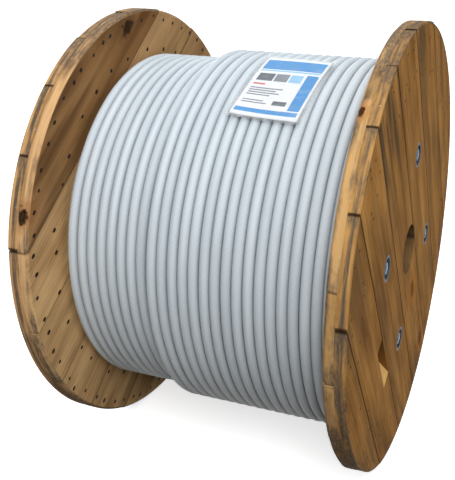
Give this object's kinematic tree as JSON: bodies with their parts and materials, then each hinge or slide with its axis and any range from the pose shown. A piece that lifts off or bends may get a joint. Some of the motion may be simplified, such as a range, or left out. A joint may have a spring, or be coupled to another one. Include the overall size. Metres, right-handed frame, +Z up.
{
  "type": "wound cable drum",
  "caption": "Wooden cable drum lying on its rims: round flanges of crossed boards held by tie rods, a spindle bore, a sloped cable-end slot, and thick grey cable wound between them.",
  "frame": {"origin": "centre of the spindle bore, midway between the two flanges", "axes": "+X along the drum's axis towards the flange with the cable slot, +Z up as the drum lies on its rims, -Y the side the picture is taken from"},
  "size_m": [0.7, 0.9982, 0.9994],
  "materials": {
    "outer_board_wood": "sawn pine, weathered honey brown",
    "inner_board_wood": "sawn pine, weathered tan",
    "stave_wood": "sawn pine, plain",
    "cable_sheath": "light grey sheath, satin",
    "zinc_steel": "dull zinc plating",
    "sleeve_film": "clear film",
    "sheet_paper": "white paper, printed in blue"
  },
  "bodies": {
    "root": {"barrel_stave_1": "stave_wood", "barrel_stave_10": "stave_wood", "barrel_stave_11": "stave_wood", "barrel_stave_12": "stave_wood", "barrel_stave_13": "stave_wood", "barrel_stave_14": "stave_wood", "barrel_stave_15": "stave_wood", "barrel_stave_16": "stave_wood", "barrel_stave_17": "stave_wood", "barrel_stave_18": "stave_wood", "barrel_stave_2": "stave_wood", "barrel_stave_3": "stave_wood", "barrel_stave_4": "stave_wood", "barrel_stave_5": "stave_wood", "barrel_stave_6": "stave_wood", "barrel_stave_7": "stave_wood", "barrel_stave_8": "stave_wood", "barrel_stave_9": "stave_wood", "cable_coil": "cable_sheath", "data_sheet": "sheet_paper", "document_sleeve": "sleeve_film", "left_inner_board_1": "inner_board_wood", "left_inner_board_2": "inner_board_wood", "left_inner_board_3": "inner_board_wood", "left_inner_board_4": "inner_board_wood", "left_inner_board_5": "inner_board_wood", "left_inner_board_6": "inner_board_wood", "left_inner_board_7": "inner_board_wood", "left_outer_board_1": "outer_board_wood", "left_outer_board_2": "outer_board_wood", "left_outer_board_3": "outer_board_wood", "left_outer_board_4": "outer_board_wood", "left_outer_board_5": "outer_board_wood", "left_outer_board_6": "outer_board_wood", "left_outer_board_7": "outer_board_wood", "nuts": "zinc_steel", "right_inner_board_1": "inner_board_wood", "right_inner_board_2": "inner_board_wood", "right_inner_board_3": "inner_board_wood", "right_inner_board_4": "inner_board_wood", "right_inner_board_5": "inner_board_wood", "right_inner_board_6": "inner_board_wood", "right_inner_board_7": "inner_board_wood", "right_outer_board_1": "outer_board_wood", "right_outer_board_2": "outer_board_wood", "right_outer_board_3": "outer_board_wood", "right_outer_board_4": "outer_board_wood", "right_outer_board_5": "outer_board_wood", "right_outer_board_6": "outer_board_wood", "right_outer_board_7": "outer_board_wood", "tie_rod_1": "zinc_steel", "tie_rod_2": "zinc_steel", "tie_rod_3": "zinc_steel", "tie_rod_4": "zinc_steel", "washers": "zinc_steel"}
  },
  "joints": []
}
